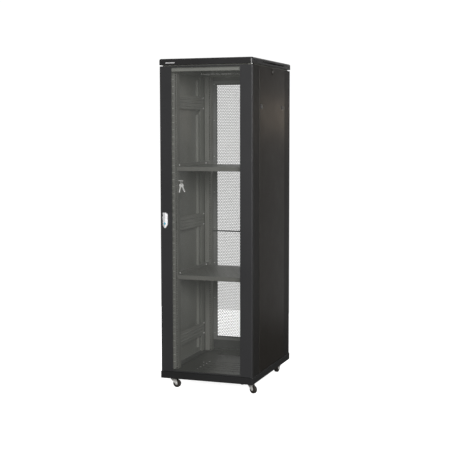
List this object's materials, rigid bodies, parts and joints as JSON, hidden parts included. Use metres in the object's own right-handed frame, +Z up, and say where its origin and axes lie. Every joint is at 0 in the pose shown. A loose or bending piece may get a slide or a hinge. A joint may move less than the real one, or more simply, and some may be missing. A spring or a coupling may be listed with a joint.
{
  "type": "network rack cabinet",
  "caption": "Tall enclosed rack cabinet on casters, with a glazed front door, perforated rear door, equipment rails, shelves and roof fans.",
  "frame": {"origin": "centre of the cabinet's footprint, on the floor", "axes": "+Z up, -Y towards the front glass door, +X to the right seen from the front"},
  "size_m": [0.6195, 0.824, 2.05],
  "materials": {
    "door_front": "satin powder coat",
    "cover_paint": "satin powder coat",
    "base_paint": "satin powder coat",
    "panel_paint": "textured powder coat",
    "frame_paint": "satin powder coat",
    "rail_paint": "satin powder coat",
    "shelf_paint": "satin powder coat",
    "mesh_paint": "satin powder coat, perforated",
    "tinted_glass": "clear",
    "seal_rubber": "matte",
    "bright_screw": "zinc plated",
    "handle_chrome": "polished",
    "handle_dark": "moulded",
    "key_blue": "glossy",
    "lock_metal": "brushed",
    "fan_black": "moulded",
    "wire_insulation": "smooth",
    "caster_zinc": "zinc plated",
    "wheel_black": "moulded",
    "foot_black": "moulded"
  },
  "bodies": {
    "cabinet": {"base_frame": "base_paint", "base_plate": "frame_paint", "top_frame": "frame_paint", "roof_cover": "cover_paint", "fan_plate": "frame_paint", "front_left_post": "frame_paint", "front_right_post": "frame_paint", "rear_left_post": "frame_paint", "rear_right_post": "frame_paint", "left_side_struts": "frame_paint", "right_side_struts": "frame_paint", "front_left_rail": "rail_paint", "front_right_rail": "rail_paint", "rear_left_rail": "rail_paint", "rear_right_rail": "rail_paint", "upper_shelf": "shelf_paint", "lower_shelf": "shelf_paint", "shelf_brackets": "frame_paint", "frame_screws": "bright_screw", "caster_plates": "caster_zinc", "fan_housings": "fan_black", "fan_guards": "bright_screw", "fan_wires": "wire_insulation", "door_hinge_pins": "bright_screw"},
    "front_door": {"front_door_frame": "door_front", "front_door_glass": "tinted_glass", "front_door_gasket": "seal_rubber", "handle_base": "handle_dark"},
    "handle_shaft": {"handle_spindle": "lock_metal"},
    "handle_grip": {"handle_lever": "handle_chrome"},
    "key_barrel": {"lock_cylinder": "lock_metal"},
    "key_cover": {"key_flap": "key_blue"},
    "rear_door": {"rear_door_frame": "door_front", "rear_door_mesh": "mesh_paint", "rear_mesh_screws": "bright_screw"},
    "rear_cam_lock": {"rear_lock": "lock_metal"},
    "key_ring": {"keys": "lock_metal"},
    "left_fan": {"fan_rotor_left": "fan_black"},
    "right_fan": {"fan_rotor_right": "fan_black"},
    "left_panel": {"left_side_panel": "panel_paint"},
    "left_front_latch_slide": {"left_front_latch": "handle_dark"},
    "left_rear_latch_slide": {"left_rear_latch": "handle_dark"},
    "left_panel_lock": {"left_side_lock": "lock_metal"},
    "right_panel": {"right_side_panel": "panel_paint"},
    "right_front_latch_slide": {"right_front_latch": "handle_dark"},
    "right_rear_latch_slide": {"right_rear_latch": "handle_dark"},
    "right_panel_lock": {"right_side_lock": "lock_metal"},
    "front_left_caster_fork": {"front_left_fork": "caster_zinc"},
    "front_left_caster_wheel": {"front_left_wheel": "wheel_black"},
    "front_left_levelling_foot": {"front_left_foot": "foot_black"},
    "front_right_caster_fork": {"front_right_fork": "caster_zinc"},
    "front_right_caster_wheel": {"front_right_wheel": "wheel_black"},
    "front_right_levelling_foot": {"front_right_foot": "foot_black"},
    "rear_left_caster_fork": {"rear_left_fork": "caster_zinc"},
    "rear_left_caster_wheel": {"rear_left_wheel": "wheel_black"},
    "rear_left_levelling_foot": {"rear_left_foot": "foot_black"},
    "rear_right_caster_fork": {"rear_right_fork": "caster_zinc"},
    "rear_right_caster_wheel": {"rear_right_wheel": "wheel_black"},
    "rear_right_levelling_foot": {"rear_right_foot": "foot_black"}
  },
  "joints": [
    {"name": "front_door_swing", "type": "hinge", "parent": "cabinet", "child": "front_door", "pos_m": [0.291, -0.389, 1], "axis": [0, 0, 1], "range_deg": [0, 120]},
    {"name": "handle_turn", "type": "hinge", "parent": "front_door", "child": "handle_shaft", "pos_m": [-0.265, -0.4, 1.092], "axis": [0, 1, 0], "range_deg": [0, 90]},
    {"name": "handle_lift", "type": "hinge", "parent": "handle_shaft", "child": "handle_grip", "pos_m": [-0.265, -0.4112, 1.092], "axis": [-1, 0, 0], "range_deg": [0, 35]},
    {"name": "key_turn", "type": "hinge", "parent": "handle_grip", "child": "key_barrel", "pos_m": [-0.264, -0.415, 1.039], "axis": [0, 1, 0], "range_deg": [0, 90]},
    {"name": "key_cover_swing", "type": "hinge", "parent": "handle_grip", "child": "key_cover", "pos_m": [-0.264, -0.4185, 1.0477], "axis": [0, 1, 0], "range_deg": [0, 150]},
    {"name": "rear_door_swing", "type": "hinge", "parent": "cabinet", "child": "rear_door", "pos_m": [-0.291, 0.389, 1], "axis": [0, 0, 1], "range_deg": [0, 120]},
    {"name": "rear_lock_turn", "type": "hinge", "parent": "rear_door", "child": "rear_cam_lock", "pos_m": [0.262, 0.4, 1.04], "axis": [0, 1, 0], "range_deg": [0, 90]},
    {"name": "keys_swing", "type": "hinge", "parent": "cabinet", "child": "key_ring", "pos_m": [-0.207, -0.282, 1.3], "axis": [1, 0, 0], "range_deg": [-20, 20]},
    {"name": "left_fan_spin", "type": "hinge", "parent": "cabinet", "child": "left_fan", "pos_m": [-0.063, -0.11, 1.99], "axis": [0, 0, 1], "continuous": true},
    {"name": "right_fan_spin", "type": "hinge", "parent": "cabinet", "child": "right_fan", "pos_m": [0.063, -0.11, 1.99], "axis": [0, 0, 1], "continuous": true},
    {"name": "left_panel_pull", "type": "slide", "parent": "cabinet", "child": "left_panel", "axis": [-1, 0, 0], "range_m": [0, 0.12]},
    {"name": "left_front_latch_draw", "type": "slide", "parent": "left_panel", "child": "left_front_latch_slide", "axis": [0, 1, 0], "range_m": [0, 0.008]},
    {"name": "left_rear_latch_draw", "type": "slide", "parent": "left_panel", "child": "left_rear_latch_slide", "axis": [0, -1, 0], "range_m": [0, 0.008]},
    {"name": "left_panel_lock_turn", "type": "hinge", "parent": "left_panel", "child": "left_panel_lock", "pos_m": [-0.297, 0.005, 1.979], "axis": [-1, 0, 0], "range_deg": [0, 90]},
    {"name": "right_panel_pull", "type": "slide", "parent": "cabinet", "child": "right_panel", "axis": [1, 0, 0], "range_m": [0, 0.12]},
    {"name": "right_front_latch_draw", "type": "slide", "parent": "right_panel", "child": "right_front_latch_slide", "axis": [0, 1, 0], "range_m": [0, 0.008]},
    {"name": "right_rear_latch_draw", "type": "slide", "parent": "right_panel", "child": "right_rear_latch_slide", "axis": [0, -1, 0], "range_m": [0, 0.008]},
    {"name": "right_panel_lock_turn", "type": "hinge", "parent": "right_panel", "child": "right_panel_lock", "pos_m": [0.297, 0.005, 1.979], "axis": [1, 0, 0], "range_deg": [0, 90]},
    {"name": "front_left_swivel", "type": "hinge", "parent": "cabinet", "child": "front_left_caster_fork", "pos_m": [-0.241, -0.352, 0.056], "axis": [0, 0, 1], "continuous": true},
    {"name": "front_left_wheel_spin", "type": "hinge", "parent": "front_left_caster_fork", "child": "front_left_caster_wheel", "pos_m": [-0.214, -0.352, 0.025], "axis": [0, 1, 0], "continuous": true},
    {"name": "front_left_foot_screw", "type": "slide", "parent": "cabinet", "child": "front_left_levelling_foot", "axis": [0, 0, 1], "range_m": [-0.056, 0]},
    {"name": "front_right_swivel", "type": "hinge", "parent": "cabinet", "child": "front_right_caster_fork", "pos_m": [0.266, -0.336, 0.056], "axis": [0, 0, 1], "continuous": true},
    {"name": "front_right_wheel_spin", "type": "hinge", "parent": "front_right_caster_fork", "child": "front_right_caster_wheel", "pos_m": [0.29027, -0.34784, 0.025], "axis": [0.4384, 0.8988, 0], "continuous": true},
    {"name": "front_right_foot_screw", "type": "slide", "parent": "cabinet", "child": "front_right_levelling_foot", "axis": [0, 0, 1], "range_m": [-0.056, 0]},
    {"name": "rear_left_swivel", "type": "hinge", "parent": "cabinet", "child": "rear_left_caster_fork", "pos_m": [-0.262, 0.29, 0.056], "axis": [0, 0, 1], "continuous": true},
    {"name": "rear_left_wheel_spin", "type": "hinge", "parent": "rear_left_caster_fork", "child": "rear_left_caster_wheel", "pos_m": [-0.27124, 0.26463, 0.025], "axis": [0.9397, -0.342, 0], "continuous": true},
    {"name": "rear_left_foot_screw", "type": "slide", "parent": "cabinet", "child": "rear_left_levelling_foot", "axis": [0, 0, 1], "range_m": [-0.056, 0]},
    {"name": "rear_right_swivel", "type": "hinge", "parent": "cabinet", "child": "rear_right_caster_fork", "pos_m": [0.262, 0.29, 0.056], "axis": [0, 0, 1], "continuous": true},
    {"name": "rear_right_wheel_spin", "type": "hinge", "parent": "rear_right_caster_fork", "child": "rear_right_caster_wheel", "pos_m": [0.25547, 0.2638, 0.025], "axis": [0.9703, -0.2419, 0], "continuous": true},
    {"name": "rear_right_foot_screw", "type": "slide", "parent": "cabinet", "child": "rear_right_levelling_foot", "axis": [0, 0, 1], "range_m": [-0.056, 0]}
  ]
}
